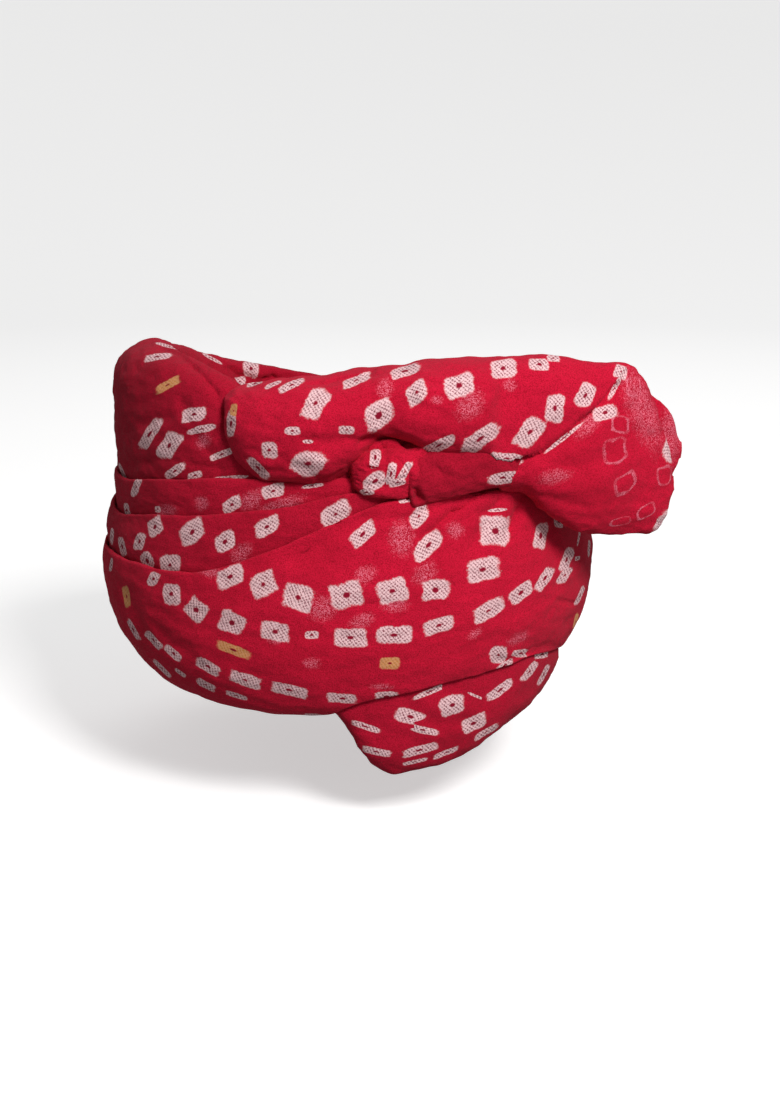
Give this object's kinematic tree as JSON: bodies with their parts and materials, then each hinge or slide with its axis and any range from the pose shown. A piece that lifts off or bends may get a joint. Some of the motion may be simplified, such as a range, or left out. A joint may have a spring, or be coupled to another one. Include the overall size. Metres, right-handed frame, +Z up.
{
  "type": "tied turban pagri",
  "caption": "Hand-tied turban of crimson tie-dyed georgette: overlapping wound wraps round an open head hollow, with a knot at the brow and a bow that opens into a fan on one side.",
  "frame": {"origin": "where the crown of the head meets the cloth, at the top of the head hollow", "axes": "+Z up; the wearer looks along -Y, so the knot is on the -Y side; the fan stands out towards +X"},
  "size_m": [0.2876, 0.2707, 0.1979],
  "materials": {
    "first_turn_cloth": "dull, finely crinkled tie-dyed georgette",
    "belly_wrap_cloth": "dull, finely crinkled tie-dyed georgette",
    "middle_wrap_cloth": "dull, finely crinkled tie-dyed georgette",
    "upper_wrap_cloth": "dull, finely crinkled tie-dyed georgette",
    "crest_wrap_cloth": "dull, finely crinkled tie-dyed georgette",
    "crown_cloth": "dull, finely crinkled tie-dyed georgette",
    "inner_band_cloth": "dull, finely crinkled tie-dyed georgette",
    "bow_cloth": "dull, finely crinkled tie-dyed georgette",
    "back_loop_cloth": "dull, finely crinkled tie-dyed georgette",
    "pocket_fold_cloth": "dull, finely crinkled tie-dyed georgette",
    "knot_cloth": "dull, finely crinkled tie-dyed georgette"
  },
  "bodies": {
    "root": {"first_turn": "first_turn_cloth", "belly_wrap": "belly_wrap_cloth", "middle_wrap": "middle_wrap_cloth", "upper_wrap": "upper_wrap_cloth", "crest_wrap": "crest_wrap_cloth", "crown": "crown_cloth", "inner_band": "inner_band_cloth", "bow": "bow_cloth", "back_loop": "back_loop_cloth", "pocket_fold": "pocket_fold_cloth", "knot": "knot_cloth"}
  },
  "joints": []
}
